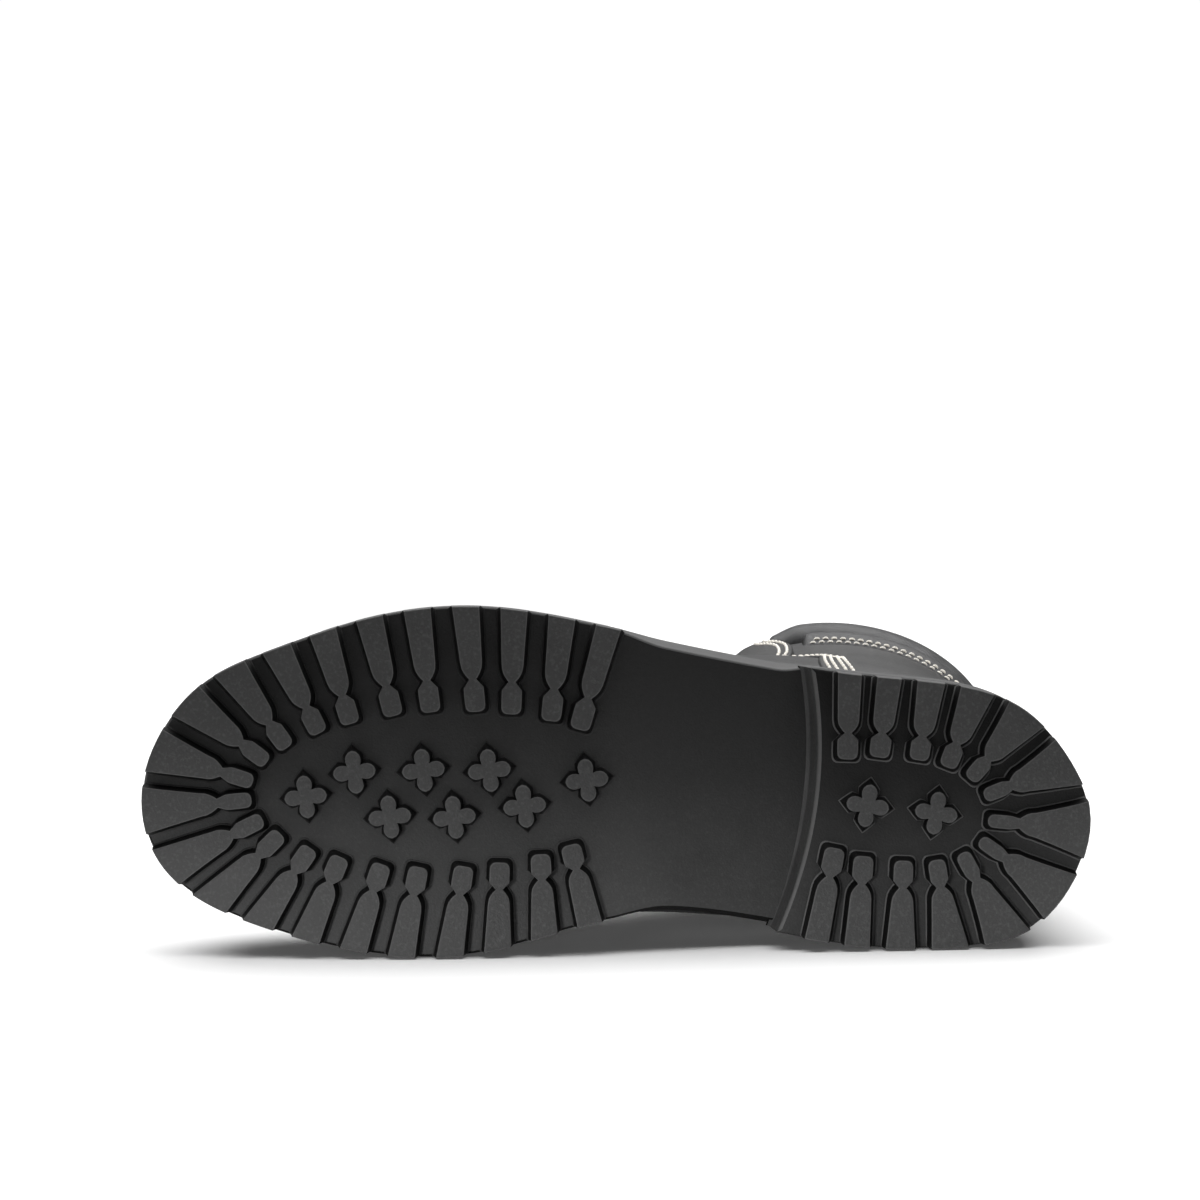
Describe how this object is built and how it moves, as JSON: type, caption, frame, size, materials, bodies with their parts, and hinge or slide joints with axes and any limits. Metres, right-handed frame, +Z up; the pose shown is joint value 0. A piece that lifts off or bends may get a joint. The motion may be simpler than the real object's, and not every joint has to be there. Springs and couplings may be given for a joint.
{
  "type": "logger boot",
  "caption": "Black lace-up leather logger boot with a padded collar, a welt and a raised heel on a thick lugged rubber sole, lying on its side.",
  "frame": {"origin": "centre of the bounding box in plan, at the floor that the boot lies on", "axes": "+X along the sole from toe to heel, +Y from the tread towards the collar, +Z up, which is the boot's lateral side"},
  "size_m": [0.3086, 0.2278, 0.114],
  "materials": {
    "sole_rubber": "matt moulded",
    "welt_rubber": "satin",
    "insole_felt": "matt",
    "upper_leather": "oiled, satin",
    "collar_leather": "soft, satin",
    "tongue_leather": "soft, satin",
    "lace_cord": "woven",
    "eyelet_enamel": "black enamel"
  },
  "bodies": {
    "root": {"outsole": "sole_rubber", "welt": "welt_rubber", "insole": "insole_felt", "upper": "upper_leather", "collar": "collar_leather", "tongue": "tongue_leather", "lace": "lace_cord", "eyelet_lateral_1": "eyelet_enamel", "eyelet_lateral_2": "eyelet_enamel", "eyelet_lateral_3": "eyelet_enamel", "eyelet_lateral_4": "eyelet_enamel", "eyelet_lateral_5": "eyelet_enamel", "eyelet_lateral_6": "eyelet_enamel", "eyelet_lateral_7": "eyelet_enamel", "eyelet_medial_1": "eyelet_enamel", "eyelet_medial_2": "eyelet_enamel", "eyelet_medial_3": "eyelet_enamel", "eyelet_medial_4": "eyelet_enamel", "eyelet_medial_5": "eyelet_enamel", "eyelet_medial_6": "eyelet_enamel", "eyelet_medial_7": "eyelet_enamel"}
  },
  "joints": []
}
